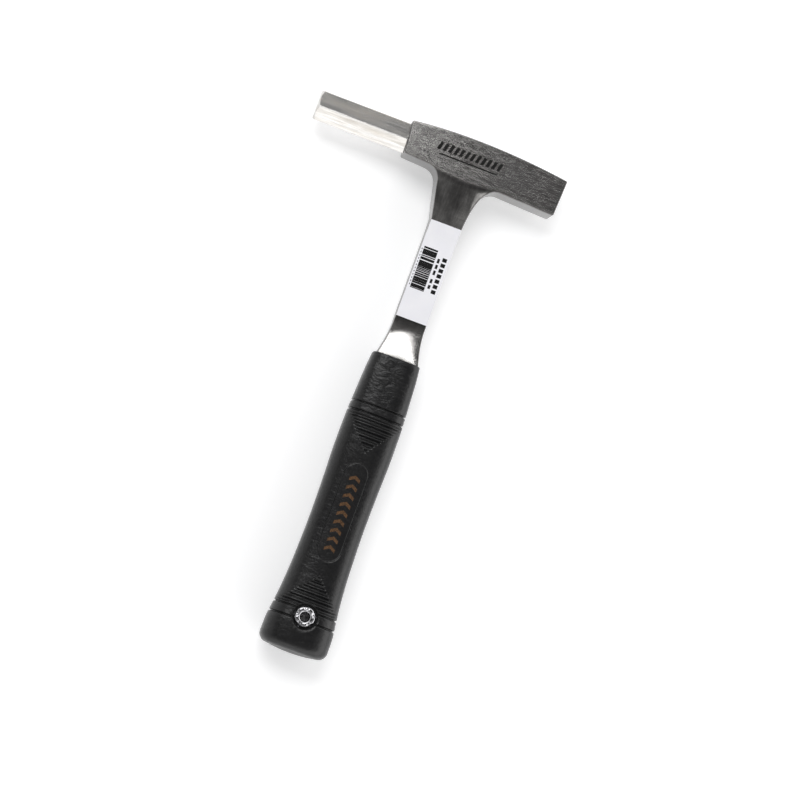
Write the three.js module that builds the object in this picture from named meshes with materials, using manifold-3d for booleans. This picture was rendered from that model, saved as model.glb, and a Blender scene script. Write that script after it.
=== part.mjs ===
// All-steel hammer with a hexagonal striking bar: one forging (head, neck, shank and tang),
// a moulded vinyl grip and a tubular eyelet to hang it by.
// Millimetres, +Z up. The hammer lies on its back: +Y runs along the handle to the head,
// -X points to the hexagonal bar and +X to the blunt square face.
// Every piece is drawn from the handle's centre line, with y = 0 just past the butt end of the grip;
// the finished group is then moved so that its origin is under the middle of the whole hammer.
import * as THREE from 'three';
import { mergeVertices } from 'three/addons/utils/BufferGeometryUtils.js';
import Module from 'manifold-3d';

const wasm = await Module();
wasm.setup();

// Fits
const fitGap = 0.3; // between neighbouring pieces

// Head block, seen from the front
const headTopLeft = [-38, 303.2];
const headTopRight = [55.8, 301.9];
const headTopArch = [3.2, 308.6]; // control point of the arched top edge
const headBottomLeft = [-36.3, 284.2];
const headBottomRight = [54.6, 280.7];
const headHalfThickness = 10.5;

// Neck, where the head runs down into the shank
const neckLeftStart = [-22, 283.4];
const neckLeftCorner = [-15.1, 283];
const neckLeftWaist = [-13.5, 276];
const neckLeftPull = [-10.8, 263];
const neckRightStart = [21.3, 282];
const neckRightPull = [10.5, 280.4];
const neckBottomY = 256;
const neckThickStartY = 282; // the neck is as thick as the head down to here
const neckThickUpperPull = [264, 10]; // control points of its thinning towards the shank
const neckThickLowerPull = [253, 5.4];
const neckThickEndY = 242;

// Shank between the neck and the grip
const shankHalfWidth = 9.2;
const shankHalfThickness = 5;
const shankFlareTopY = 194;
const shankFlarePull = [9.4, 185];
const shankFlareHalfWidth = 12.2;
const shankSwellTopY = 198;
const shankSwellEndY = 184;
const shankSwellHalfThickness = 6.1;

// Tang inside the grip
const tangShoulderY = 164;
const tangShoulderHalfWidth = 10.6;
const tangShoulderHalfThickness = 5.4;
const tangEndY = 11;
const tangEndHalfWidth = 9;
const tangEndHalfThickness = 3.6;

// Hexagonal striking bar
const barAcrossFlats = 17;
const barEndX = -90.9;
const barAxisY = 294;
const barRoll = THREE.MathUtils.degToRad(11); // the front ridge leans this far towards the butt
const barEndRadius = 7.9; // flat left on the end by the cone-turned chamfer
const barChamferLength = 1.5;
const spigotRadius = 6;
const spigotLength = 18;

// Grip
const gripButtY = 0.6; // the rounded butt starts here
const gripLength = 174.7; // height of the mouth
const gripThicknessRatio = 0.76; // thickness over width of the cross-section
const gripMouthSquareness = 3.6; // superellipse exponents of the cross-section
const gripBodySquareness = 2.7;
const gripSegments = 72;
const grooveDepth = 1.1;
const grooveHalfWidth = 0.7;
const deepGrooves = [145.1, 140.1]; // pair of grooves round the top of the grip
const cuffGrooves = [25.5, 19.6]; // pair of grooves above the butt cap

// Eyelet and its washer, through the butt of the grip and the tang
const eyeletY = 21.9;
const eyeletHoleRadius = 2.5;
const eyeletBarrelRadius = 3.5;
const eyeletFlangeRadius = 6.5;
const eyeletFlangeRim = 0.5;
const eyeletFlangeHeight = 1.9;
const eyeletLipRadius = 4.5;
const eyeletLipHeight = 0.8;
const washerThickness = 1;
const washerRadius = 6.5;
const pocketRadius = 7.3;
const pocketFloor = 11.4; // distance of each pocket's floor from the hammer's middle plane
const roundSegments = 48;

// Paper label on the front of the shank
const labelLength = 57.2;
const labelWidth = 18.2;
const labelThickness = 0.2;
const labelTopY = 255.1;
const labelGap = 0.05;

// Turns a closed three.js geometry into a solid that can be joined and cut.
function solidFrom(geometry) {
  const bare = geometry.clone();
  bare.deleteAttribute('normal');
  bare.deleteAttribute('uv');
  const merged = mergeVertices(bare, 1e-4);
  const index = merged.index.array;
  const triangles = [];
  for (let i = 0; i < index.length; i += 3) {
    const [a, b, c] = index.slice(i, i + 3);
    const isPoint = a === b || b === c || c === a; // a lathe closes on its axis with such triangles
    if (!isPoint) triangles.push(a, b, c);
  }
  return new wasm.Manifold(new wasm.Mesh({
    numProp: 3,
    vertProperties: new Float32Array(merged.attributes.position.array),
    triVerts: new Uint32Array(triangles),
  }));
}

function geometryFrom(solid) {
  const mesh = solid.getMesh();
  const geometry = new THREE.BufferGeometry();
  geometry.setAttribute('position', new THREE.BufferAttribute(mesh.vertProperties, 3));
  geometry.setIndex(new THREE.BufferAttribute(mesh.triVerts, 1));
  geometry.computeVertexNormals();
  return geometry;
}

function meshOf(name, geometry, color, roughness, metalness) {
  const mesh = new THREE.Mesh(geometry, new THREE.MeshStandardMaterial({ color, roughness, metalness }));
  mesh.name = name;
  return mesh;
}

// A flat outline in (X, Y), extruded through the hammer's thickness.
function frontExtrusion(shape, depth) {
  const geometry = new THREE.ExtrudeGeometry(shape, { depth, bevelEnabled: false, curveSegments: 16 });
  return geometry.translate(0, 0, -depth / 2);
}

// An outline drawn in (Y, Z), extruded along X from startX.
function sideExtrusion(shape, startX, depth) {
  const geometry = new THREE.ExtrudeGeometry(shape, { depth, bevelEnabled: false, curveSegments: 16 });
  const turn = new THREE.Matrix4().makeBasis(
    new THREE.Vector3(0, 1, 0),
    new THREE.Vector3(0, 0, 1),
    new THREE.Vector3(1, 0, 0),
  );
  return geometry.applyMatrix4(turn).translate(startX, 0, 0);
}

// A round bar along Z, centred on the middle plane at (x, y).
function roundBarAlongZ(x, y, radius, length) {
  const geometry = new THREE.CylinderGeometry(radius, radius, length, roundSegments);
  return geometry.rotateX(Math.PI / 2).translate(x, y, 0);
}

// Front outline of the forging, grown by gap around the tang and the shank.
function forgingOutline(gap) {
  const shank = shankHalfWidth + gap;
  const flare = shankFlareHalfWidth + gap;
  const shoulder = tangShoulderHalfWidth + gap;
  const end = tangEndHalfWidth + gap;
  const shape = new THREE.Shape();
  shape.moveTo(-end, tangEndY - gap);
  shape.lineTo(end, tangEndY - gap);
  shape.lineTo(shoulder, tangShoulderY);
  shape.lineTo(flare, gripLength);
  shape.quadraticCurveTo(shankFlarePull[0] + gap, shankFlarePull[1], shank, shankFlareTopY);
  shape.lineTo(shank, neckBottomY);
  shape.quadraticCurveTo(...neckRightPull, ...neckRightStart);
  shape.lineTo(...headBottomRight);
  shape.lineTo(...headTopRight);
  shape.quadraticCurveTo(...headTopArch, ...headTopLeft);
  shape.lineTo(...headBottomLeft);
  shape.lineTo(...neckLeftStart);
  shape.quadraticCurveTo(...neckLeftCorner, ...neckLeftWaist);
  shape.quadraticCurveTo(...neckLeftPull, -shank, neckBottomY);
  shape.lineTo(-shank, shankFlareTopY);
  shape.quadraticCurveTo(-shankFlarePull[0] - gap, shankFlarePull[1], -flare, gripLength);
  shape.lineTo(-shoulder, tangShoulderY);
  shape.closePath();
  return shape;
}

// Side outline of the forging in (Y, Z): thick head, slim shank, swell at the grip, tapered tang.
function forgingSide(gap) {
  const headEndY = headTopArch[1];
  const shank = shankHalfThickness + gap;
  const swell = shankSwellHalfThickness + gap;
  const shoulder = tangShoulderHalfThickness + gap;
  const end = tangEndHalfThickness + gap;
  const shape = new THREE.Shape();
  shape.moveTo(tangEndY - gap, -end);
  shape.lineTo(tangShoulderY, -shoulder);
  shape.lineTo(gripLength, -swell);
  shape.lineTo(shankSwellEndY, -swell);
  shape.lineTo(shankSwellTopY, -shank);
  shape.lineTo(neckThickEndY, -shank);
  const [lowerY, lowerZ] = [neckThickLowerPull[0], neckThickLowerPull[1] + gap];
  const [upperY, upperZ] = [neckThickUpperPull[0], neckThickUpperPull[1] + gap];
  const head = headHalfThickness + gap;
  shape.bezierCurveTo(lowerY, -lowerZ, upperY, -upperZ, neckThickStartY, -head);
  shape.lineTo(headEndY, -head);
  shape.lineTo(headEndY, head);
  shape.lineTo(neckThickStartY, head);
  shape.bezierCurveTo(upperY, upperZ, lowerY, lowerZ, neckThickEndY, shank);
  shape.lineTo(shankSwellTopY, shank);
  shape.lineTo(shankSwellEndY, swell);
  shape.lineTo(gripLength, swell);
  shape.lineTo(tangShoulderY, shoulder);
  shape.lineTo(tangEndY - gap, end);
  shape.closePath();
  return shape;
}

function forgingBlank(gap) {
  const front = solidFrom(frontExtrusion(forgingOutline(gap), 4 * headHalfThickness));
  const width = headTopRight[0] - headTopLeft[0];
  const side = solidFrom(sideExtrusion(forgingSide(gap), headTopLeft[0] - 1, width + 2));
  return front.intersect(side);
}

function headForging() {
  const boreLength = spigotLength + fitGap;
  const bore = new THREE.CylinderGeometry(spigotRadius + fitGap, spigotRadius + fitGap, 2 * boreLength, roundSegments);
  bore.rotateZ(Math.PI / 2).translate(headTopLeft[0], barAxisY, 0);
  const eyeletHole = roundBarAlongZ(0, eyeletY, eyeletBarrelRadius + 2 * fitGap, 4 * tangEndHalfThickness);
  const solid = forgingBlank(0).subtract(solidFrom(bore)).subtract(solidFrom(eyeletHole));
  return meshOf('head_forging', geometryFrom(solid), 0x77756f, 0.42, 1);
}

// The hexagon, its cone-turned end, a shoulder cut to the lean of the head's end, and the spigot.
function hexStrikingBar() {
  const cornerRadius = barAcrossFlats / Math.sqrt(3);
  const hexagon = new THREE.Shape();
  for (let corner = 0; corner < 6; corner += 1) {
    const angle = barRoll + corner * Math.PI / 3;
    const point = [-cornerRadius * Math.sin(angle), cornerRadius * Math.cos(angle)];
    if (corner === 0) hexagon.moveTo(...point);
    else hexagon.lineTo(...point);
  }
  hexagon.closePath();
  const hexLength = headBottomLeft[0] - barEndX;
  const hex = solidFrom(sideExtrusion(hexagon, barEndX, hexLength).translate(0, barAxisY, 0));

  const turned = new THREE.LatheGeometry([
    new THREE.Vector2(0, 0),
    new THREE.Vector2(barEndRadius, 0),
    new THREE.Vector2(cornerRadius + 0.1, barChamferLength),
    new THREE.Vector2(cornerRadius + 0.1, hexLength + 1),
    new THREE.Vector2(0, hexLength + 1),
  ], 2 * roundSegments);
  turned.rotateZ(-Math.PI / 2).translate(barEndX, barAxisY, 0);

  const run = headTopLeft[0] - headBottomLeft[0];
  const rise = headTopLeft[1] - headBottomLeft[1];
  const shoulderCut = new THREE.BoxGeometry(20, 60, 60);
  shoulderCut.translate(10 - fitGap, 0, 0).rotateZ(Math.atan2(-run, rise));
  shoulderCut.translate(headTopLeft[0] - run / 2, headTopLeft[1] - rise / 2, 0);

  const spigot = new THREE.CylinderGeometry(spigotRadius, spigotRadius, spigotLength + 8, roundSegments);
  spigot.rotateZ(Math.PI / 2);
  spigot.translate(headTopLeft[0] + (spigotLength - 8) / 2, barAxisY, 0);

  const solid = hex.intersect(solidFrom(turned)).subtract(solidFrom(shoulderCut)).add(solidFrom(spigot));
  return meshOf('hex_striking_bar', geometryFrom(solid), 0xa6a49a, 0.3, 1);
}

// Points down one side of the grip as (half-width, y), from the butt to the mouth.
function gripProfile() {
  const swell = new THREE.SplineCurve([
    new THREE.Vector2(19.2, 6),
    new THREE.Vector2(19.8, 10),
    new THREE.Vector2(19.7, 15),
    new THREE.Vector2(18.6, 24),
    new THREE.Vector2(17.3, 36),
    new THREE.Vector2(16.3, 52),
    new THREE.Vector2(15.7, 78),
    new THREE.Vector2(16, 100),
    new THREE.Vector2(16.5, 119),
    new THREE.Vector2(16.1, 143),
    new THREE.Vector2(15.2, 160),
    new THREE.Vector2(13.9, 174),
  ]);
  const butt = [[0, gripButtY], [5.2, 0.9], [9.5, 1.4], [13.4, 2.1], [16.2, 3.2], [18.1, 4.6]];
  const points = butt.map(([r, y]) => new THREE.Vector2(r, y));
  const halfWidthAt = (y) => swell.getPointAt((y - 6) / (174 - 6)).x;
  const grooves = [...cuffGrooves, ...deepGrooves].sort((a, b) => a - b);
  for (const point of swell.getSpacedPoints(24)) {
    const besideGroove = grooves.some((y) => Math.abs(point.y - y) < 2 * grooveHalfWidth);
    if (!besideGroove) points.push(point);
  }
  for (const y of grooves) {
    const radius = halfWidthAt(y);
    points.push(new THREE.Vector2(radius, y - grooveHalfWidth));
    points.push(new THREE.Vector2(radius - grooveDepth, y));
    points.push(new THREE.Vector2(radius, y + grooveHalfWidth));
  }
  points.sort((a, b) => a.y - b.y);
  points.push(new THREE.Vector2(13.3, gripLength), new THREE.Vector2(0, gripLength));
  return points;
}

// A lathe form whose round sections are pressed into superellipses, squarer towards the mouth.
function gripForm() {
  const geometry = new THREE.LatheGeometry(gripProfile(), gripSegments);
  const position = geometry.attributes.position;
  for (let i = 0; i < position.count; i += 1) {
    const [x, y, z] = [position.getX(i), position.getY(i), position.getZ(i)];
    const radius = Math.hypot(x, z);
    if (radius > 1e-6) {
      const mouth = THREE.MathUtils.smoothstep(y, 120, gripLength);
      const power = 2 / THREE.MathUtils.lerp(gripBodySquareness, gripMouthSquareness, mouth);
      const [cosine, sine] = [x / radius, z / radius];
      const across = Math.sign(cosine) * Math.abs(cosine) ** power * radius;
      const through = Math.sign(sine) * Math.abs(sine) ** power * radius * gripThicknessRatio;
      position.setXYZ(i, across, y, through);
    }
  }
  return geometry;
}

function grip() {
  const pocketDepth = 10;
  const cutters = [forgingBlank(fitGap)];
  cutters.push(solidFrom(roundBarAlongZ(0, eyeletY, eyeletBarrelRadius + fitGap, 4 * pocketFloor)));
  for (const side of [-1, 1]) {
    const pocket = roundBarAlongZ(0, eyeletY, pocketRadius, pocketDepth);
    cutters.push(solidFrom(pocket.translate(0, 0, side * (pocketFloor + pocketDepth / 2))));
  }
  let solid = solidFrom(gripForm());
  for (const cutter of cutters) solid = solid.subtract(cutter);
  return meshOf('grip', geometryFrom(solid), 0x1b1b1d, 0.48, 0);
}

// Rings turned about the eyelet's axis; profiles are (radius, height from the middle plane).
function eyeletRing(profile) {
  const points = profile.map(([radius, height]) => new THREE.Vector2(radius, height));
  points.push(points[0].clone());
  return new THREE.LatheGeometry(points, roundSegments).rotateX(Math.PI / 2).translate(0, eyeletY, 0);
}

function eyelet() {
  const seat = pocketFloor + fitGap;
  const top = seat + eyeletFlangeHeight;
  const lipTop = -(pocketFloor + 2 * fitGap + washerThickness);
  const lipBottom = lipTop - eyeletLipHeight;
  const geometry = eyeletRing([
    [eyeletHoleRadius, lipBottom],
    [eyeletLipRadius, lipBottom],
    [eyeletLipRadius, lipTop - 0.05],
    [eyeletBarrelRadius, lipTop - 0.05],
    [eyeletBarrelRadius, seat],
    [eyeletFlangeRadius, seat],
    [eyeletFlangeRadius, seat + eyeletFlangeRim],
    [eyeletFlangeRadius - 0.6, seat + 1.2],
    [eyeletFlangeRadius - 1.6, top - 0.2],
    [eyeletHoleRadius + 1.6, top],
    [eyeletHoleRadius + 0.5, top - 0.15],
    [eyeletHoleRadius, top - 0.7],
  ]);
  return meshOf('eyelet', geometry, 0xd8d8da, 0.12, 1);
}

function eyeletWasher() {
  const seat = -(pocketFloor + fitGap);
  const geometry = eyeletRing([
    [eyeletBarrelRadius + fitGap, seat - washerThickness],
    [washerRadius - 0.4, seat - washerThickness],
    [washerRadius, seat - washerThickness / 2],
    [washerRadius, seat],
    [eyeletBarrelRadius + fitGap, seat],
  ]);
  return meshOf('eyelet_washer', geometry, 0xd0d0d2, 0.15, 1);
}

// A strip of paper that follows the front of the shank up onto the neck.
function shankLabel() {
  const strip = new THREE.BoxGeometry(labelWidth, labelLength, headHalfThickness);
  strip.translate(0, labelTopY - labelLength / 2, headHalfThickness / 2 + labelGap);
  const under = sideExtrusion(forgingSide(labelGap), -labelWidth, 2 * labelWidth);
  const over = sideExtrusion(forgingSide(labelGap + labelThickness), -labelWidth, 2 * labelWidth);
  const solid = solidFrom(strip).intersect(solidFrom(over)).subtract(solidFrom(under));
  return meshOf('shank_label', geometryFrom(solid), 0xe6e6ea, 0.6, 0);
}

const hammer = new THREE.Group();
hammer.add(headForging(), hexStrikingBar(), grip(), eyelet(), eyeletWasher(), shankLabel());

const bounds = new THREE.Box3().setFromObject(hammer);
const middle = bounds.getCenter(new THREE.Vector3());
hammer.position.set(-middle.x, -middle.y, -bounds.min.z);

export default hammer;
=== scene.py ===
# All-steel hammer with a hexagonal striking bar, lying on its back on a pale floor.
# Shapes are drawn in millimetres from the butt end of the grip, on the handle's centre line:
# x across towards the blunt face, y up the handle to the head, z out of the front.
import math
import bpy
import numpy as np
from mathutils import Matrix, Vector


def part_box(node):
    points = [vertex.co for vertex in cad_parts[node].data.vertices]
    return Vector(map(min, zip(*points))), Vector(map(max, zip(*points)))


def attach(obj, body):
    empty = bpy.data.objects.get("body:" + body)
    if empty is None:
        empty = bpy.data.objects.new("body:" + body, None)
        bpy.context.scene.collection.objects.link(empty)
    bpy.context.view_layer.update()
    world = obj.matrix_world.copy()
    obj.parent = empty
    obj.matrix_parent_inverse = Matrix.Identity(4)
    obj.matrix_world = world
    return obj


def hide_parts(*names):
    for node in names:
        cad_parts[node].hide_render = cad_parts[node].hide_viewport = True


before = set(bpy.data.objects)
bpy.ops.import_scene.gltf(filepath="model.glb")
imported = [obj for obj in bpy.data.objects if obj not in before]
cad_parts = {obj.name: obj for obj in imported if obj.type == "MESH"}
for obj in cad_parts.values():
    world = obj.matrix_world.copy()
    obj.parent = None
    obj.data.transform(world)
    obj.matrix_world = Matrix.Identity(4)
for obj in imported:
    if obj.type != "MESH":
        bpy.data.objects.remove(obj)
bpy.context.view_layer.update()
scene = bpy.context.scene
scene.view_settings.view_transform = "Standard"  # keeps the pale floor pale

metresPerMillimetre = 0.001
gripLow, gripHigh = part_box("grip")
buttTip = 0.6  # the rounded butt starts this high
buttPoint = np.array([(gripLow.x + gripHigh.x) / 2, gripLow.y - buttTip * metresPerMillimetre,
                      (gripLow.z + gripHigh.z) / 2])
print("frame loaded with", len(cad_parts), "pieces")


# ---- curves and grids

def toFrame(points):
    # millimetres from the butt end become metres in the frame
    return np.asarray(points, float) * metresPerMillimetre + buttPoint


def easeBetween(low, high, value):
    # 0 below low, 1 above high, and 3t^2 - 2t^3 in between
    t = np.clip((value - low) / (high - low), 0.0, 1.0)
    return t * t * (3 - 2 * t)


def throughKnots(knots, at):
    # cubic pieces through (place, value) knots; the slope at a knot is the harmonic mean of the
    # slopes on its two sides, or level where they differ in sign, so nothing overshoots
    places, values = np.array(knots, float).T
    steps = np.diff(places)
    rises = np.diff(values) / steps
    product = rises[:-1] * rises[1:]
    total = np.where(product > 0, rises[:-1] + rises[1:], 1.0)
    inner = np.where(product > 0, 2 * product / total, 0.0)
    slopes = np.concatenate([rises[:1], inner, rises[-1:]])
    at = np.clip(at, places[0], places[-1])
    i = np.clip(np.searchsorted(places, at, side="right") - 1, 0, len(steps) - 1)
    t = (at - places[i]) / steps[i]
    start = values[i] * (1 + 2 * t) * (1 - t) ** 2 + values[i + 1] * t * t * (3 - 2 * t)
    return start + steps[i] * (slopes[i] * t * (1 - t) ** 2 - slopes[i + 1] * t * t * (1 - t))


def crowded(low, high, count, weight):
    # count places from low to high, closer together where weight(place) is larger
    fine = np.linspace(low, high, 20001)
    shares = weight(fine)
    total = np.concatenate([[0.0], np.cumsum((shares[1:] + shares[:-1]) / 2)])
    return np.interp(np.linspace(0, total[-1], count), total, fine)


def nearAny(places, reach, value):
    # 1 on any of the places, falling as a bell curve that is reach wide
    value = np.asarray(value, float)
    return sum(np.exp(-((value - place) / reach) ** 2) for place in places)


def curveThrough(start, pull, end, count):
    # quadratic curve: start (1-t)^2 + 2 pull t(1-t) + end t^2
    t = np.linspace(0, 1, count)[:, None]
    return (1 - t) ** 2 * np.array(start) + 2 * t * (1 - t) * np.array(pull) + t * t * np.array(end)


def softMin(a, b, softness):
    # the smaller of a and b, with their meeting line rounded over by softness
    return 0.5 * (a + b - np.sqrt((a - b) ** 2 + softness ** 2))


def quadsOf(index):
    # the little squares of a grid of vertex numbers
    return np.stack([index[:-1, :-1], index[:-1, 1:], index[1:, 1:], index[1:, :-1]], -1).reshape(-1, 4)


def roundFaces(rows, columns):
    # a closed round grid whose first and last vertices are the two poles
    index = 1 + np.arange(rows * columns).reshape(rows, columns)
    index = np.column_stack([index, index[:, 0]])
    first, last = index[0], index[-1]
    lastPole = rows * columns + 1
    startFan = np.stack([first[1:], first[:-1], np.zeros(columns, int)], -1)
    endFan = np.stack([last[:-1], last[1:], np.full(columns, lastPole)], -1)
    return [quadsOf(index), np.concatenate([startFan, endFan])]


# ---- putting a surface into the scene

def meshFrom(name, points, faces, sharpAngle):
    # faces is a list of arrays of vertex numbers; they are turned round if the volume comes out negative
    placed = toFrame(points)
    middle = placed.mean(0)
    volume = 0.0
    for group in faces:
        corners = placed[group] - middle
        for k in range(1, group.shape[1] - 1):
            volume += np.einsum("ij,ij->", corners[:, 0], np.cross(corners[:, k], corners[:, k + 1]))
    if volume < 0:
        faces = [group[:, ::-1] for group in faces]
    corners = np.concatenate([group.ravel() for group in faces]).astype(np.int32)
    sizes = np.concatenate([np.full(len(group), group.shape[1]) for group in faces])
    starts = (np.cumsum(sizes) - sizes).astype(np.int32)
    mesh = bpy.data.meshes.new(name)
    mesh.vertices.add(len(placed))
    mesh.vertices.foreach_set("co", placed.astype(np.float32).ravel())
    mesh.loops.add(len(corners))
    mesh.loops.foreach_set("vertex_index", corners)
    mesh.polygons.add(len(sizes))
    mesh.polygons.foreach_set("loop_start", starts)
    mesh.update(calc_edges=True)
    mesh.validate()
    mesh.shade_smooth()
    mesh.set_sharp_from_angle(angle=math.radians(sharpAngle))
    return mesh


def addPiece(name, points, faces, material, replaced=None, sharpAngle=40):
    mesh = meshFrom(name, points, faces, sharpAngle)
    piece = bpy.data.objects.new(name, mesh)
    scene.collection.objects.link(piece)
    piece.data.materials.append(material)
    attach(piece, "root")
    if replaced:
        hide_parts(replaced)
    return piece


def cutAway(piece, points, faces):
    # takes a closed cutter out of the piece and keeps the result as its mesh
    cutter = bpy.data.objects.new("cutter", meshFrom("cutter", points, faces, 35))
    scene.collection.objects.link(cutter)
    cut = piece.modifiers.new("cut", "BOOLEAN")
    cut.operation = "DIFFERENCE"
    cut.solver = "EXACT"
    cut.object = cutter
    bpy.context.view_layer.update()
    evaluated = piece.evaluated_get(bpy.context.evaluated_depsgraph_get())
    result = bpy.data.meshes.new_from_object(evaluated)
    piece.modifiers.clear()
    piece.data = result
    bpy.data.objects.remove(cutter)


def turnedPoints(profile, columns, centre, axis):
    # a profile of (radius, height) turned about an axis through centre; the ends are the poles
    profile = np.array(profile, float)
    turn = np.linspace(0, 2 * np.pi, columns, endpoint=False)
    radius, height = profile[1:-1, 0][:, None], profile[1:-1, 1][:, None]
    rings = [radius * np.cos(turn), radius * np.sin(turn), height + 0 * turn]
    poles = [[0, 0, profile[0, 1]], [0, 0, profile[-1, 1]]]
    local = np.concatenate([poles[:1], np.stack(rings, -1).reshape(-1, 3), poles[1:]])
    if axis == "x":
        local = local[:, [2, 0, 1]]
    return local + np.array(centre, float)


def turnedRing(profile, columns, centre):
    # a closed profile turned about an axis along z
    radius, height = np.array(profile, float).T
    turn = np.linspace(0, 2 * np.pi, columns, endpoint=False)
    across = radius[:, None] * np.cos(turn)
    along = radius[:, None] * np.sin(turn)
    points = np.stack([across, along, height[:, None] + 0 * turn], -1).reshape(-1, 3)
    index = np.arange(len(points)).reshape(len(radius), columns)
    index = np.column_stack([index, index[:, 0]])
    index = np.vstack([index, index[:1]])
    return points + np.array(centre, float), [quadsOf(index)]


def thinSlabs(x, y, surface, lift, sink):
    # x and y hold many little grids (patch, row, column); each becomes a closed slab on the surface
    height = surface(x, y)
    top = np.stack([x, y, height + lift], -1)
    bottom = np.stack([x, y, height - sink], -1)
    patches, rows, columns = x.shape
    cells = rows * columns
    index = np.arange(cells).reshape(rows, columns)
    rim = np.concatenate([index[0, :-1], index[:-1, -1], index[-1, :0:-1], index[:0:-1, 0]])
    walls = np.stack([rim, rim + cells], 0)
    walls = np.column_stack([walls, walls[:, 0]])
    flat = quadsOf(index)
    one = np.concatenate([flat, flat[:, ::-1] + cells, quadsOf(walls)[:, ::-1]])
    faces = (one[None] + 2 * cells * np.arange(patches)[:, None, None]).reshape(-1, 4)
    points = np.concatenate([top.reshape(patches, -1, 3), bottom.reshape(patches, -1, 3)], 1)
    return points.reshape(-1, 3), [faces]


# ---- finishes

def fill(tree, node, values):
    # a value that is another node's output is linked, any other is set on the socket
    for socket, value in values.items():
        if isinstance(value, bpy.types.NodeSocket):
            tree.links.new(value, node.inputs[socket])
        else:
            node.inputs[socket].default_value = value


def addNode(tree, kind, values=None, **options):
    made = tree.nodes.new(kind)
    for option, choice in options.items():
        setattr(made, option, choice)
    fill(tree, made, values or {})
    return made


def startFinish(name):
    material = bpy.data.materials.new(name)
    material.use_nodes = True
    tree = material.node_tree
    shader = tree.nodes["Principled BSDF"]
    place = addNode(tree, "ShaderNodeTexCoord").outputs["Object"]
    return material, tree, shader, place


def noiseAt(tree, place, scale, detail, roughness, distortion=0.0):
    # noise whose grain is 1/scale metres long in each direction; one number does for all three
    scale = scale if isinstance(scale, tuple) else (scale,) * 3
    stretched = addNode(tree, "ShaderNodeMapping", {"Vector": place, "Scale": scale}).outputs[0]
    values = {"Vector": stretched, "Scale": 1.0, "Detail": detail, "Roughness": roughness,
              "Distortion": distortion}
    return addNode(tree, "ShaderNodeTexNoise", values).outputs["Fac"]


def spread(tree, value, low, high, fromLow=0.3, fromHigh=0.7):
    # stretches a value, by default from a noise's usual range, onto low..high
    values = {"Value": value, "From Min": fromLow, "From Max": fromHigh, "To Min": low, "To Max": high}
    return addNode(tree, "ShaderNodeMapRange", values).outputs[0]


def blendNumbers(tree, amount, a, b):
    return addNode(tree, "ShaderNodeMix", {0: amount, 2: a, 3: b}).outputs[0]


def blendColours(tree, amount, a, b):
    return addNode(tree, "ShaderNodeMix", {0: amount, 6: a, 7: b}, data_type="RGBA").outputs[2]


def multiply(tree, a, b):
    return addNode(tree, "ShaderNodeMath", {0: a, 1: b}, operation="MULTIPLY").outputs[0]


def shadeColour(tree, colour, tone):
    return addNode(tree, "ShaderNodeVectorMath", {0: colour, 3: tone}, operation="SCALE").outputs[0]


def bumpFrom(tree, height, distance, strength, below=None):
    values = {"Height": height, "Distance": distance, "Strength": strength}
    if below is not None:
        values["Normal"] = below
    return addNode(tree, "ShaderNodeBump", values).outputs[0]


steelLook = {
    "groundColour": (0.45, 0.44, 0.43, 1),  # of the head, and painted on the swell above the grip as a highlight
    "forgedColour": (0.26, 0.255, 0.25, 1),
    "darkColour": (0.10, 0.098, 0.096, 1),
    "groundRoughness": (0.15, 0.25),
    "forgedRoughness": (0.17, 0.27),
    "anisotropy": 0.6,
    "grainAlongHead": (190, 1500, 1500),
    "grainAlongShank": (1100, 90, 1100),
    "coarseAlongHead": (20, 800, 800),
    "cloud": (130, 80, 130),
    "fineTone": (0.74, 1.16),
    "coarseTone": (0.94, 1.05),
    "grainDepth": 0.00006,
}


def groundAndForgedSteel():
    # the head is ground from end to end, the neck and shank are brushed lengthways and darker
    look = steelLook
    material, tree, shader, place = startFinish("ground and forged steel")
    ground = addNode(tree, "ShaderNodeAttribute", attribute_name="ground").outputs["Fac"]
    headGrain = noiseAt(tree, place, look["grainAlongHead"], 4, 0.7)
    shankGrain = noiseAt(tree, place, look["grainAlongShank"], 5, 0.6)
    grain = blendNumbers(tree, ground, shankGrain, headGrain)
    coarse = noiseAt(tree, place, look["coarseAlongHead"], 3, 0.5)
    cloud = noiseAt(tree, place, look["cloud"], 6, 0.65)
    mottle = spread(tree, cloud, 0.0, 1.0)
    forged = blendColours(tree, mottle, look["darkColour"], look["forgedColour"])
    # where the forging's "ground" attribute covers the swell and a neck patch, this lighter colour is a
    # painted highlight and a painted reflection
    colour = blendColours(tree, ground, forged, look["groundColour"])
    fineTone = spread(tree, grain, *look["fineTone"])
    tone = multiply(tree, fineTone, spread(tree, coarse, *look["coarseTone"]))
    groundRoughness = spread(tree, grain, *look["groundRoughness"])
    forgedRoughness = spread(tree, cloud, *look["forgedRoughness"])
    # the brushing runs along the head where the steel is ground, and lengthways elsewhere
    notGround = addNode(tree, "ShaderNodeMath", {0: 1.0, 1: ground}, operation="SUBTRACT").outputs[0]
    fill(tree, shader, {
        "Base Color": shadeColour(tree, colour, tone),
        "Metallic": 1.0,
        "Roughness": blendNumbers(tree, ground, forgedRoughness, groundRoughness),
        "Anisotropic": look["anisotropy"],
        "Tangent": addNode(tree, "ShaderNodeCombineXYZ", {0: notGround, 1: ground}).outputs[0],
        "Normal": bumpFrom(tree, grain, look["grainDepth"], 0.45),
    })
    return material


barLook = {
    "colour": (0.66, 0.65, 0.635, 1),
    "warmColour": (0.52, 0.49, 0.45, 1),
    "roughness": (0.16, 0.27),
    "streaks": (30, 260, 260),
    "grain": (60, 900, 900),
    "tone": (0.8, 1.1),
    "grainDepth": 0.00006,
}


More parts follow.
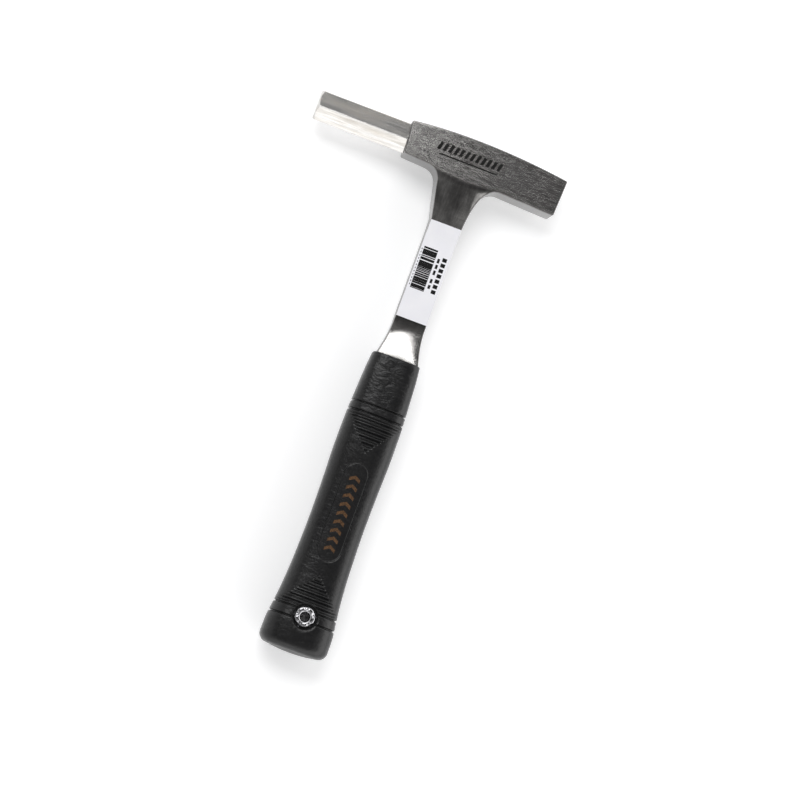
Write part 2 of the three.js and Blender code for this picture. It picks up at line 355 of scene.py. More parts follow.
def groundBarSteel():
    # long brownish streaks under a fine lengthways grain
    look = barLook
    material, tree, shader, place = startFinish("ground bar steel")
    grain = noiseAt(tree, place, look["grain"], 5, 0.6)
    streaks = noiseAt(tree, place, look["streaks"], 5, 0.7)
    warmth = spread(tree, streaks, 0.0, 1.0, 0.42, 0.66)
    colour = blendColours(tree, warmth, look["colour"], look["warmColour"])
    fill(tree, shader, {
        "Base Color": shadeColour(tree, colour, spread(tree, grain, *look["tone"])),
        "Metallic": 1.0,
        "Roughness": spread(tree, streaks, *look["roughness"]),
        "Normal": bumpFrom(tree, grain, look["grainDepth"], 0.3),
    })
    return material


vinylLook = {
    "colour": (0.0025, 0.0025, 0.003, 1),
    "scuffedColour": (0.006, 0.006, 0.0065, 1),
    "roughness": (0.28, 0.38),
    "pebble": 900,
    "pebbleDepth": 0.00014,
    "waviness": (160, 330, 160),
    "wavinessDepth": 0.0006,
    "restWaviness": 0.36,
    "topWaviness": 0.8,  # the top section is more wrinkled than the rest
    "topSection": (-0.02, 0.0),  # heights in the frame between which the wrinkles grow
}


def mouldedVinyl():
    look = vinylLook
    material, tree, shader, place = startFinish("moulded black vinyl")
    pebble = noiseAt(tree, place, look["pebble"], 3, 0.5)
    wave = noiseAt(tree, place, look["waviness"], 3, 0.55, 0.8)
    height = addNode(tree, "ShaderNodeSeparateXYZ", {0: place}).outputs["Y"]
    wrinkled = spread(tree, height, look["restWaviness"], look["topWaviness"], *look["topSection"])
    waves = bumpFrom(tree, wave, look["wavinessDepth"], wrinkled)
    fill(tree, shader, {
        "Base Color": blendColours(tree, spread(tree, wave, 0, 1), look["colour"], look["scuffedColour"]),
        "Roughness": spread(tree, pebble, *look["roughness"]),
        "IOR": 1.45,
        "Normal": bumpFrom(tree, pebble, look["pebbleDepth"], 0.6, waves),
    })
    return material


chromeLook = {
    "dullColour": (0.28, 0.28, 0.295, 1),
    "brightColour": (0.50, 0.50, 0.515, 1),
    # painted shade for the inside of the eyelet's hole
    "holeShadeColour": (0.06, 0.06, 0.065, 1),
    "holeShadeEnds": (0.00255, 0.0027),  # metres from the eyelet's axis over which the painted shade inside the hole fades out
    "roughness": (0.05, 0.14),
    "smear": 900,
    "smearDepth": 0.00002,
}


def brightChrome():
    # bright outside; down the inside of the eyelet it is painted dull and dark, a painted shade in the hole
    look = chromeLook
    material, tree, shader, place = startFinish("bright chrome")
    smear = noiseAt(tree, place, look["smear"], 3, 0.5)
    bright = blendColours(tree, spread(tree, smear, 0, 1), look["dullColour"], look["brightColour"])
    # painted shade: the inside of the hole is darkened by distance from the eyelet's axis
    axis = toFrame([0, grip["eyeletHeight"], 0])
    offset = addNode(tree, "ShaderNodeVectorMath", {0: place, 1: axis}, operation="SUBTRACT").outputs[0]
    level = addNode(tree, "ShaderNodeVectorMath", {0: offset, 1: (1, 1, 0)}, operation="MULTIPLY")
    radius = addNode(tree, "ShaderNodeVectorMath", {0: level.outputs[0]}, operation="LENGTH")
    clearOfHoleShade = spread(tree, radius.outputs["Value"], 0.0, 1.0, *look["holeShadeEnds"])
    fill(tree, shader, {
        "Base Color": blendColours(tree, clearOfHoleShade, look["holeShadeColour"], bright),
        "Metallic": 1.0,
        "Roughness": spread(tree, smear, *look["roughness"]),
        "Normal": bumpFrom(tree, smear, look["smearDepth"], 0.4),
    })
    return material


paperLook = {
    "greyerColour": (0.80, 0.80, 0.845, 1),
    "paleColour": (0.84, 0.84, 0.87, 1),
    "roughness": (0.42, 0.58),
    "cloud": 90,
    "fibre": 1600,
    "fibreDepth": 0.00002,
}


def labelPaper():
    look = paperLook
    material, tree, shader, place = startFinish("label paper")
    fibre = noiseAt(tree, place, look["fibre"], 4, 0.6)
    cloud = noiseAt(tree, place, look["cloud"], 2, 0.5)
    cloudy = spread(tree, cloud, 0, 1)
    fill(tree, shader, {
        "Base Color": blendColours(tree, cloudy, look["greyerColour"], look["paleColour"]),
        "Roughness": spread(tree, fibre, *look["roughness"]),
        "Normal": bumpFrom(tree, fibre, look["fibreDepth"], 0.4),
    })
    return material


def inkFinish(name, thinColour, fullColour, roughness, metallic=0.0):
    # printed or stamped colour with a slightly uneven cover
    material, tree, shader, place = startFinish(name)
    cover = noiseAt(tree, place, 1500, 3, 0.6)
    fill(tree, shader, {
        "Base Color": blendColours(tree, spread(tree, cover, 0, 1), thinColour, fullColour),
        "Metallic": metallic,
        "Roughness": spread(tree, cover, roughness, roughness + 0.15),
        "Specular IOR Level": 0.15,
    })
    return material


steel = groundAndForgedSteel()
barSteel = groundBarSteel()
vinyl = mouldedVinyl()
paper = labelPaper()
print("finishes made")


# ---- forging: head block, neck, shank and tang in one piece

forging = {
    "headTopLeft": (-38, 303.2),
    "headTopRight": (55.8, 301.9),
    "headTopArch": (3.2, 308.6),
    "headBottomLeft": (-36.3, 284.2),
    "headBottomRight": (54.6, 280.7),
    "halfThickness": 10.5,
    "neckLeft": ((-22, 283.4), (-15.1, 283), (-13.5, 276), (-10.8, 263)),
    "neckRight": ((21.3, 282), (10.5, 280.4)),
    "neckBottom": 256,
    "leftSplit": 0.47,  # how far along each neck curve the head's grid hands over to the neck's
    "rightSplit": 0.30,
    "shankHalfWidth": 9.2,
    "flareTop": 194,
    "flarePull": (9.4, 185),
    "flareHalfWidth": 12.2,
    "mouth": 174.7,
    "shoulder": (10.6, 164),
    "tangEnd": (9, 11),
    "edgeRadius": 0.7,
    # half thickness along the edges, by height up the handle
    "edgeLine": [(11, 3.6), (140, 4.9), (158, 6.6), (168, 6.9), (175, 6.9), (187, 5.45), (192.5, 4.9),
                 (243, 5), (252, 6.3), (259, 7.9), (263, 8.6), (270, 9.2), (276, 9.8), (281.6, 10.5),
                 (288, 11.6), (310, 14)],
    # how much fuller the middle is than the edges
    "crown": [(11, 0), (245, 0), (259, 0.35), (270, 0.5), (278, 0.35), (284, 0), (310, 0)],
    # the swell above the mouth is fullest right of the middle and falls away to the left
    "swell": [(11, 0), (120, 0), (150, 0.9), (162, 1.5), (170, 1.7), (176, 1.4), (187, 0.4),
              (193, 0.03), (197, 0)],
    "swellMiddle": 12.5,
    "swellReach": 6.0,
    "swellFall": 0.5,
    "halfWidth": [(11, 9), (164, 10.6), (174.7, 12.2), (180, 11), (186, 9.8), (194, 9.2), (256, 9.2),
                  (263, 10), (270, 11.5), (276, 13.6), (281, 19), (310, 19)],
    # a flank slopes down to the right of this line, x by height up the neck
    "rightFlank": [(250, 9.6), (263, 9.4), (270, 9.2), (276, 9.2), (279, 11.5), (283, 30), (310, 60)],
    "flankSlope": [(235, 0), (258, 0.45), (276, 0.45), (281, 0), (310, 0)],
    "armLift": 3,  # the right arm is as thick as the others are this much higher up
    "swellArch": 3,  # the swell's top edge arches down to the sides, by this much 12 mm off its middle
    "groundSoftness": 0.12,  # rounding of the line where the ground front starts
    "neckReflectionPlace": (7, 264),  # a painted reflection on the neck: a patch given the ground steel's brighter colour
    "neckReflectionSize": (3, 8),
    "neckReflectionStrength": 0.6,
    "wallShine": 0.15,
    "eyeletHoleRadius": 4.1,
    "columnsAcrossNeck": 64,
    "columnsLeft": 30,
    "columnsRight": 52,
    "headRows": 40,
    "neckRows": 250,
    "edgeSteps": 5,
    "wallSteps": 8,
}


def forgingSoftHeight(x, y):
    # height of the forged surface before the front is ground flat: an edge line, a crown that falls
    # off with the square of the distance from the middle, the swell above the grip and the flank
    y = y + forging["armLift"] * easeBetween(18, 30, x) * easeBetween(270, 278, y)
    arch = forging["swellArch"] * np.minimum(((x - 4) / 12) ** 2, 1.5)
    y = y + arch * easeBetween(160, 175, y) * easeBetween(205, 192, y)
    middle = 1.6 * easeBetween(256, 270, y)
    reach = ((x - middle) / throughKnots(forging["halfWidth"], y)) ** 2
    fullness = throughKnots(forging["crown"], y) * (1 - np.minimum(reach, 1.4))
    height = throughKnots(forging["edgeLine"], y) + fullness
    away = np.log(np.cosh((x - forging["swellMiddle"]) / forging["swellReach"]))
    height = height + throughKnots(forging["swell"], y) * (1 - forging["swellFall"] * away)
    past = x - throughKnots(forging["rightFlank"], y)
    return height - throughKnots(forging["flankSlope"], y) * 0.5 * (past + np.sqrt(past ** 2 + 0.2))


def forgingHeight(x, y):
    return softMin(forging["halfThickness"], forgingSoftHeight(x, y), forging["groundSoftness"])


def sideChain(side):
    # one side of the outline from the head's lower corner down to the end of the tang
    width = side * forging["shankHalfWidth"]
    pull = (side * forging["flarePull"][0], forging["flarePull"][1])
    flare = (side * forging["flareHalfWidth"], forging["mouth"])
    bottom = (width, forging["neckBottom"])
    if side < 0:
        start, corner, waist, lower = forging["neckLeft"]
        parts = [np.linspace(forging["headBottomLeft"], start, 41)]
        parts.append(curveThrough(start, corner, waist, 101))
        parts.append(curveThrough(waist, lower, bottom, 81))
    else:
        start, lower = forging["neckRight"]
        parts = [np.linspace(forging["headBottomRight"], start, 41)]
        parts.append(curveThrough(start, lower, bottom, 101))
    flareTop = (width, forging["flareTop"])
    shoulder = (side * forging["shoulder"][0], forging["shoulder"][1])
    tangEnd = (side * forging["tangEnd"][0], forging["tangEnd"][1])
    parts.append(np.linspace(bottom, flareTop, 121))
    parts.append(curveThrough(flareTop, pull, flare, 61))
    parts.append(np.linspace(flare, shoulder, 31))
    parts.append(np.linspace(shoulder, tangEnd, 201))
    chain = np.concatenate([parts[0]] + [part[1:] for part in parts[1:]])
    along = np.gradient(chain, axis=0)
    along /= np.linalg.norm(along, axis=1)[:, None]
    inward = -side * np.stack([-along[:, 1], along[:, 0]], -1)
    return chain + forging["edgeRadius"] * inward


def headSheet(leftChain, rightChain, leftIndex, rightIndex, across):
    # x runs between the leaning ends, y between the lower edge and the arched top; both are found
    # together by going round a few times
    radius = forging["edgeRadius"]
    arch = curveThrough(forging["headTopLeft"], forging["headTopArch"], forging["headTopRight"], 201)
    lower = np.concatenate([leftChain[:leftIndex + 1], rightChain[:rightIndex + 1][::-1]])
    endYs = [forging["headBottomLeft"][1], forging["headTopLeft"][1]]
    endXs = [forging["headBottomLeft"][0], forging["headTopLeft"][0]]
    farYs = [forging["headBottomRight"][1], forging["headTopRight"][1]]
    farXs = [forging["headBottomRight"][0], forging["headTopRight"][0]]
    edges = lambda x: 0.4 + nearAny([lower[0, 0], lower[-1, 0]], 1.6, x) * 2
    leftX = crowded(endXs[0] + radius, leftChain[leftIndex, 0], forging["columnsLeft"], edges)
    rightX = crowded(rightChain[rightIndex, 0], farXs[0] - radius, forging["columnsRight"], edges)
    neckX = leftX[-1] + (rightX[0] - leftX[-1]) * across
    footX = np.concatenate([leftX[:-1], neckX, rightX[1:]])
    upward = crowded(0, 1, forging["headRows"], lambda t: 0.5 + nearAny([0, 1], 0.06, t))[:, None]
    footY = np.interp(footX, lower[:, 0], lower[:, 1])
    footLeft = np.interp(footY, endYs, endXs) + radius
    footRight = np.interp(footY, farYs, farXs) - radius
    share = (footX - footLeft) / (footRight - footLeft)
    x = footX + 0 * upward
    for _ in range(8):
        low = np.interp(x, lower[:, 0], lower[:, 1])
        high = np.interp(x, arch[:, 0], arch[:, 1]) - radius
        y = low + (high - low) * upward
        left = np.interp(y, endYs, endXs) + radius
        right = np.interp(y, farYs, farXs) - radius
        x = left + (right - left) * share
    return x, y


def neckSheet(leftChain, rightChain, across):
    # rows run from one side to the other; near the head they sag to keep the squares even
    top = (leftChain[0, 1] + rightChain[0, 1]) / 2
    bottom = forging["tangEnd"][1] + forging["edgeRadius"]
    busy = lambda y: 0.25 + 1.0 * easeBetween(168, 176, y) + 0.8 * nearAny([186, 262], 12, y)
    heights = crowded(bottom, top, forging["neckRows"], busy)[::-1]
    neckBottom = forging["neckBottom"]
    sides = []
    for chain in (leftChain, rightChain):
        run = np.concatenate([[0], np.cumsum(np.linalg.norm(np.diff(chain, axis=0), axis=1))])
        runToBottom = np.interp(-neckBottom, -chain[:, 1], run)
        upper = runToBottom * (top - heights) / (top - neckBottom)
        place = np.where(heights > neckBottom, upper, np.interp(-heights, -chain[:, 1], run))
        sides.append(np.stack([np.interp(place, run, chain[:, 0]), np.interp(place, run, chain[:, 1])], -1))
    left, right = sides[0][:, None, :], sides[1][:, None, :]
    across = across[None, :, None]
    sheet = left * (1 - across) + right * across
    sag = heights[:, None] - (left[:, :, 1] + right[:, :, 1]) / 2
    sheet[:, :, 1] += sag * 4 * across[:, :, 0] * (1 - across[:, :, 0])
    return sheet[:, :, 0], sheet[:, :, 1]


def forgedBody():
    # a flat sheet of two grids, head and neck, lifted to the front and back surfaces, with a
    # rounded edge and a straight wall carried all round its rim
    across = crowded(0, 1, forging["columnsAcrossNeck"], lambda t: 0.6 + nearAny([0, 1], 0.08, t))
    leftChain, rightChain = sideChain(-1), sideChain(1)
    leftIndex = 40 + round(100 * forging["leftSplit"])
    rightIndex = 40 + round(100 * forging["rightSplit"])
    headX, headY = headSheet(leftChain, rightChain, leftIndex, rightIndex, across)
    neckX, neckY = neckSheet(leftChain[leftIndex:], rightChain[rightIndex:], across)
    firstNeck = forging["columnsLeft"] - 1
    lastNeck = firstNeck + forging["columnsAcrossNeck"]
    head = np.arange(headX.size).reshape(headX.shape)
    below = head.size + np.arange(neckX[1:].size).reshape(neckX[1:].shape)
    neck = np.vstack([head[0, firstNeck:lastNeck], below])
    x = np.concatenate([headX.ravel(), neckX[1:].ravel()])
    y = np.concatenate([headY.ravel(), neckY[1:].ravel()])

    # the head's four corner points move to the middle of their neighbours, to round the corners
    for row, nextRow in ((0, 1), (-1, -2)):
        for column, nextColumn in ((0, 1), (-1, -2)):
            corner, side, end = head[row, column], head[nextRow, column], head[row, nextColumn]
            x[corner], y[corner] = (x[side] + x[end]) / 2, (y[side] + y[end]) / 2

    rim = np.concatenate([head[::-1, 0], head[0, 1:firstNeck + 1], neck[1:, 0], neck[-1, 1:],
                          neck[-2:0:-1, -1], head[0, lastNeck - 1:], head[1:, -1], head[-1, -2:0:-1]])
    rimX, rimY = x[rim], y[rim]
    alongX = np.roll(rimX, -1) - np.roll(rimX, 1)
    alongY = np.roll(rimY, -1) - np.roll(rimY, 1)
    length = np.hypot(alongX, alongY)
    outX, outY = alongY / length, -alongX / length

    height = forgingHeight(x, y)
    radius = forging["edgeRadius"]
    quarter = np.linspace(0, np.pi / 2, forging["edgeSteps"] + 1)[1:, None]
    wall = np.linspace(1, -1, forging["wallSteps"] + 1)[1:-1, None]
    over = np.concatenate([np.sin(quarter), np.ones_like(wall), np.sin(quarter[::-1])])
    wallTop = height[rim] - radius
    rise = np.concatenate([wallTop + radius * np.cos(quarter), wallTop * wall,
                           -wallTop - radius * np.cos(quarter[::-1])])
    wallX, wallY = rimX + radius * over * outX, rimY + radius * over * outY

    count = len(x)
    front = np.stack([x, y, height], -1)
    back = front * [1, 1, -1]
    walls = np.stack([wallX, wallY, rise], -1).reshape(-1, 3)
    points = np.concatenate([front, back, walls])
    rings = 2 * count + np.arange(wallX.size).reshape(wallX.shape)
    rings = np.vstack([rim, rings, rim + count])
    rings = np.column_stack([rings, rings[:, 0]])
    sheet = np.concatenate([quadsOf(head), quadsOf(neck[::-1])])
    faces = [np.concatenate([sheet, sheet[:, ::-1] + count, quadsOf(rings)[:, ::-1]])]
    piece = addPiece("forged_body", points, faces, steel, "head_forging")

    # "ground" is 1 where the steel is ground flat and 0 where it is as forged; on the swell and on a patch of
    # the neck it also paints the lighter ground colour, as a painted highlight and a painted reflection
    flat = easeBetween(-0.05, 0.12, forgingSoftHeight(x, y) - forging["halfThickness"])
    # painted highlight: the swell above the grip is given the ground steel's lighter colour
    swellHighlight = easeBetween(201, 189, y) * easeBetween(150, 155, y)
    # painted reflection: a soft bright patch on the neck, given the ground steel's lighter colour
    offX = (x - forging["neckReflectionPlace"][0]) / forging["neckReflectionSize"][0]
    offY = (y - forging["neckReflectionPlace"][1]) / forging["neckReflectionSize"][1]
    smear = forging["neckReflectionStrength"] * np.exp(-offX ** 2 - offY ** 2)
    flat = np.maximum(np.maximum(flat, swellHighlight), smear)
    onWall = forging["wallShine"] * easeBetween(279, 282, wallY).ravel()
    ground = np.concatenate([flat, flat, onWall])
    piece.data.attributes.new("ground", "FLOAT", "POINT").data.foreach_set("value", ground)
    return piece


# ---- hexagonal striking bar

bar = {
    "acrossFlats": 17,
    "end": -90.9,
    "axisHeight": 294,
    "roll": 11,  # degrees that the front ridge leans towards the butt
    "endRadius": 7.9,
    "chamfer": 1.5,
    "gapToHead": 0.3,
    "spigotRadius": 6,
    "spigotLength": 18,
    "spigotBevel": 0.8,
    "ridgeHardness": 110,  # higher is sharper
    "columns": 240,
    "rows": 90,
}


def ridgeRadius(turn):
    # distance to the hexagon's side: apothem over a soft maximum of the cosines to its six faces
    normals = np.radians(bar["roll"] + 30 + 60 * np.arange(6))
    cosines = np.maximum(np.cos(turn[:, None] - normals), 0)
    power = bar["ridgeHardness"]
    return bar["acrossFlats"] / 2 / (cosines ** power).sum(1) ** (1 / power)


def headEndX(y):
    low, high = forging["headBottomLeft"], forging["headTopLeft"]
    return low[0] + (y - low[1]) * (high[0] - low[0]) / (high[1] - low[1])


def hexBar():
    # rings run along the bar, each one round its axis; turn 0 points out of the front and grows
    # towards the butt
    corner = bar["acrossFlats"] / math.sqrt(3)
    ridges = np.radians(bar["roll"] + 60 * np.arange(-1, 7))
    turn = crowded(0, 2 * np.pi, bar["columns"] + 1, lambda t: 0.35 + 2.2 * nearAny(ridges, 0.06, t))[:-1]
    hexagon = ridgeRadius(turn)
    rings = []
    for radius in np.linspace(0, bar["endRadius"] - 0.2, 9)[1:]:
        rings.append((np.full_like(turn, bar["end"]), np.full_like(turn, radius)))
    lengths = crowded(0, 1, bar["rows"], lambda s: 0.6 + 9 * nearAny([0], 0.05, s) + nearAny([1], 0.02, s))
    for share in lengths:
        radius = hexagon
        for _ in range(3):
            y = bar["axisHeight"] - radius * np.sin(turn)
            x = bar["end"] + (headEndX(y) - bar["gapToHead"] - bar["end"]) * share
            slope = (corner + 0.1 - bar["endRadius"]) / bar["chamfer"]
            cone = bar["endRadius"] + slope * (x - bar["end"])
            radius = softMin(hexagon, cone, 0.12)
        rings.append((x, radius))
    shoulder = rings[-1]
    spigotTip = shoulder[0].max() + bar["spigotLength"]
    for fraction in (0.5, 1.0):
        radius = shoulder[1] + (bar["spigotRadius"] - shoulder[1]) * fraction
        x = headEndX(bar["axisHeight"] - radius * np.sin(turn)) - bar["gapToHead"]
        rings.append((x, radius))
    bevel = bar["spigotBevel"]
    for radius, x in ((bar["spigotRadius"], spigotTip - 4), (bar["spigotRadius"], spigotTip - bevel),
                      (bar["spigotRadius"] - bevel, spigotTip), (2, spigotTip)):
        rings.append((np.full_like(turn, x), np.full_like(turn, radius)))
    x, radius = np.array(rings).transpose(1, 0, 2)
    body = np.stack([x, bar["axisHeight"] - radius * np.sin(turn), radius * np.cos(turn)], -1)
    ends = [[[end, bar["axisHeight"], 0]] for end in (bar["end"], spigotTip)]
    points = np.concatenate([ends[0], body.reshape(-1, 3), ends[1]])
    faces = roundFaces(len(rings), len(turn))
    return addPiece("hex_bar", points, faces, barSteel, "hex_striking_bar", 30)


# ---- moulded grip

grip = {
    "length": 174.7,
    "thicknessRatio": 0.76,
    # half width by height up the handle, above the rounding of the butt
    "halfWidth": [(0, 19.85), (10, 19.8), (15, 19.7), (24, 18.6), (36, 17.3), (52, 16.3), (78, 15.7),
                  (100, 16), (119, 16.5), (134, 16.4), (143, 16.05), (153, 15.5), (165, 14.8), (174.7, 13.9)],
    "bodySquareness": 2.7,
    "mouthSquareness": 3.6,
    "buttEdgeRadius": 5.4,
    "buttCrown": 1.3,
    "mouthEdgeRadius": 0.8,
    "rings": (145.1, 140.1, 25.5, 19.6),
    "ringDepth": 1.0,
    "ringHalfWidth": 0.75,
    "ribPitch": 1.6,
    "ribDepth": 0.6,
    "upperRibs": (118, 138, 16),  # apex, base and half width at the base
    "lowerRibs": (46.4, 27.0, 18),
    "panel": (54.8, 112.2, 6.9),  # lower end, upper end and half width
    "panelGrooveDepth": 0.4,
    "panelGrooveHalfWidth": 0.5,
    "pocketRadius": 7.3,
    "pocketFloor": 11.4,
    "boreRadius": 3.8,
    "eyeletHeight": 21.9,
    "cavityGap": 0.3,
    "cavityEnd": 11,
    "cavitySquareness": 9,
    "columns": 212,
    "rows": 370,
}


def gripSection(y):
    # half width, half thickness and squareness of the section at height y
    halfWidth = throughKnots(grip["halfWidth"], y)
    mouth = easeBetween(120, grip["length"], y)
    squareness = grip["bodySquareness"] + (grip["mouthSquareness"] - grip["bodySquareness"]) * mouth
    return halfWidth, grip["thicknessRatio"] * halfWidth, squareness


def sectionPoints(turn, halfWidth, halfThickness, squareness):
    # |x/a|^n + |z/b|^n = 1, met at the angle turn
    across = np.abs(np.cos(turn) / halfWidth) ** squareness
    through = np.abs(np.sin(turn) / halfThickness) ** squareness
    radius = (across + through) ** (-1 / squareness)
    return radius * np.cos(turn), radius * np.sin(turn)


def gripFront(x, y):
    halfWidth, halfThickness, squareness = gripSection(y)
    return halfThickness * (1 - np.abs(x / halfWidth) ** squareness) ** (1 / squareness)


def ribCut(x, y, apex, base, halfWidth):
    # grooves across the handle, each as long as a triangle is wide there
    pitch = math.copysign(grip["ribPitch"], apex - base)
    number = np.clip(np.round((y - base) / pitch), 0, math.floor(abs((apex - base) / pitch)))
    centre = base + pitch * number
    reach = halfWidth * (apex - centre) / (apex - base)
    profile = 1 - easeBetween(0.12, 0.52, np.abs(y - centre))
    return profile * easeBetween(0.0, 0.9, reach - np.abs(x))


def gripCut(x, y):
    # how far the grooves, the panel's outline and the pocket's soft rim go into the surface
    nearest = np.min([np.abs(y - ring) for ring in grip["rings"]], axis=0)
    cut = grip["ringDepth"] * (1 - easeBetween(0.1, grip["ringHalfWidth"], nearest))
    for ribs in (grip["upperRibs"], grip["lowerRibs"]):
        cut = cut + grip["ribDepth"] * ribCut(x, y, *ribs)
    low, high, halfWidth = grip["panel"]
    toSpine = np.hypot(x, y - np.clip(y, low + halfWidth, high - halfWidth))
    outline = 1 - easeBetween(0.05, grip["panelGrooveHalfWidth"], np.abs(toSpine - halfWidth))
    cut = cut + grip["panelGrooveDepth"] * outline
    toPocket = np.hypot(x, y - grip["eyeletHeight"])
    return cut + 0.4 * (1 - easeBetween(grip["pocketRadius"], grip["pocketRadius"] + 0.9, toPocket))


def gripSleeve():
    # rings from the middle of the butt, up the outside, over the mouth and down the cavity
    panelLow, panelHigh, panelHalfWidth = grip["panel"]
    grooveTurn = math.atan2(12.3, panelHalfWidth)
    crowdedTurns = [grooveTurn, np.pi - grooveTurn, np.pi + grooveTurn, 2 * np.pi - grooveTurn]

    def perTurn(t):
        middles = nearAny([np.pi / 2, 1.5 * np.pi], 0.5, t)
        return 0.45 + 0.9 * nearAny(crowdedTurns, 0.09, t) + 0.12 * middles

    def perHeight(y):
        ribs = easeBetween(25, 26, y) - easeBetween(46, 47, y)
        ribs = ribs + easeBetween(117, 118, y) - easeBetween(138.5, 139, y)
        panelEnds = nearAny([panelLow + 2, panelHigh - 2], 3.2, y)
        return 0.8 + 2.6 * ribs + 2.2 * panelEnds + 6 * nearAny(grip["rings"], 1.0, y)

    turn = crowded(0, 2 * np.pi, grip["columns"] + 1, perTurn)[:-1]

    radius = grip["buttEdgeRadius"]
    ringSizes = []  # height, half width, half thickness, squareness of each ring
    butt, buttThickness, square = [float(value) for value in gripSection(6.0)]
    for share in np.linspace(0, 1, 10)[1:]:
        size = (butt - radius) * share, (buttThickness - radius) * share
        height = buttTip + grip["buttCrown"] * share ** 2
        ringSizes.append((height, size[0], size[1], 2 + (square - 2) * share))
    for bend in np.linspace(0, np.pi / 2, 11)[1:-1]:
        height = buttTip + grip["buttCrown"] + radius * (1 - math.cos(bend))
        out = radius * (1 - math.sin(bend))
        ringSizes.append((height, butt - out, buttThickness - out, square))
    sideLow = buttTip + grip["buttCrown"] + radius
    sideHigh = grip["length"] - grip["mouthEdgeRadius"]
    sideHeights = crowded(sideLow, sideHigh, grip["rows"], perHeight)
    firstSide = len(ringSizes)
    for height, a, b, n in zip(sideHeights, *gripSection(sideHeights)):
        ringSizes.append((height, a, b, n))
    lastSide = len(ringSizes)
    mouth, mouthThickness, mouthSquare = [float(value) for value in gripSection(sideHigh)]
    for bend in np.linspace(0, np.pi / 2, 6)[1:]:
        out = grip["mouthEdgeRadius"] * (1 - math.cos(bend))
        height = sideHigh + grip["mouthEdgeRadius"] * math.sin(bend)
        ringSizes.append((height, mouth - out, mouthThickness - out, mouthSquare))
    gap = grip["cavityGap"]
    cavityEnd = grip["cavityEnd"] - gap
    insideHeights = np.linspace(grip["length"], 150, 16)
    insideHeights = np.concatenate([insideHeights, np.linspace(150, cavityEnd, 30)[1:]])
    insideWidth = throughKnots(forging["halfWidth"], insideHeights) + gap
    insideThickness = forgingSoftHeight(forging["swellMiddle"] + 0 * insideHeights, insideHeights) + gap
    for height, a, b in zip(insideHeights, insideWidth, insideThickness):
        ringSizes.append((height, a, b, grip["cavitySquareness"]))

    height, a, b, n = np.array(ringSizes).T[:, :, None]
    x, z = sectionPoints(turn, a, b, n)
    y = height + 0 * x
    side = slice(firstSide, lastSide)
    cut = gripCut(x[side], y[side])
    normalX = np.sign(x[side]) * np.abs(x[side] / a[side]) ** (n[side] - 1) / a[side]
    normalZ = np.sign(z[side]) * np.abs(z[side] / b[side]) ** (n[side] - 1) / b[side]
    length = np.hypot(normalX, normalZ)
    x[side] -= cut * normalX / length
    z[side] -= cut * normalZ / length
    body = np.stack([x, y, z], -1).reshape(-1, 3)
    points = np.concatenate([[[0, buttTip, 0]], body, [[0, cavityEnd, 0]]])
    faces = roundFaces(len(ringSizes), len(turn))
    return addPiece("grip_sleeve", points, faces, vinyl, "grip", 50)


def eyeletCutter(reach):
    # the pockets and the bore that are taken out of the grip, as one turned form
    pocket, bore, floor = grip["pocketRadius"], grip["boreRadius"], grip["pocketFloor"]
    profile = [(0, -reach), (pocket, -reach), (pocket, -floor), (bore, -floor),
               (bore, floor), (pocket, floor), (pocket, reach), (0, reach)]
    points = turnedPoints(profile, 96, (0, grip["eyeletHeight"], 0), "z")
    return points, roundFaces(len(profile) - 2, 96)


# ---- hanging eyelet and its washer

eyelet = {
    "holeRadius": 2.5,
    "barrelRadius": 3.5,
    "flangeRadius": 6.15,
    "flangeHeight": 1.9,
    "flangeRim": 0.25,
    "lipRadius": 4.5,
    "lipHeight": 0.8,
    "washerRadius": 6.5,
    "washerThickness": 1.0,
    "washerBevel": 0.1,
    "washerRound": 0.4,
    "seatGap": 0.3,
    "petals": 5,
    "petalDepth": 0.9,
    "columns": 160,
}


chrome = brightChrome()


def arcPoints(centre, radius, start, end, count):
    turns = np.radians(np.linspace(start, end, count))
    return np.stack([centre[0] + radius[0] * np.cos(turns), centre[1] + radius[1] * np.sin(turns)], -1)


def hangingEyelet():
    # a domed flange rolled into the hole, a straight barrel and a rolled lip at the back
    seat = grip["pocketFloor"] + eyelet["seatGap"]
    rim = eyelet["flangeRim"]
    rimTop = seat + rim
    dome = (eyelet["flangeRadius"] - eyelet["holeRadius"]) / 2
    middle = eyelet["holeRadius"] + dome
    lipTop = -(seat + eyelet["seatGap"] + eyelet["washerThickness"])
    lipMiddle = (eyelet["holeRadius"] + eyelet["lipRadius"]) / 2
    lipHalf = (eyelet["lipRadius"] - eyelet["holeRadius"]) / 2
    barrel, hole = eyelet["barrelRadius"], eyelet["holeRadius"]
    profile = np.concatenate([
        [(barrel, lipTop - 0.05), (barrel, seat), (eyelet["flangeRadius"] - 0.1, seat)],
        arcPoints((middle, rimTop), (dome, eyelet["flangeHeight"] - rim), 0, 172, 26),
        [(hole, rimTop - 0.4), (hole, lipTop - 0.3)],
        arcPoints((lipMiddle, lipTop - rim), (lipHalf, eyelet["lipHeight"] - rim), 180, 360, 14),
        [(eyelet["lipRadius"] - 0.05, lipTop - 0.05)],
    ])
    points, faces = turnedRing(profile, eyelet["columns"], (0, grip["eyeletHeight"], 0))
    # the rolled flange is split into soft petals
    turn = np.arctan2(points[:, 1] - grip["eyeletHeight"], points[:, 0])
    reach = np.hypot(points[:, 0], points[:, 1] - grip["eyeletHeight"])
    onFlange = easeBetween(seat + 0.2, seat + 0.8, points[:, 2]) * easeBetween(3.4, 4.6, reach)
    valleys = (0.5 - 0.5 * np.cos(eyelet["petals"] * turn + 0.6)) ** 2
    points[:, 2] -= eyelet["petalDepth"] * onFlange * valleys
    return addPiece("hanging_eyelet", points, faces, chrome, "eyelet", 50)


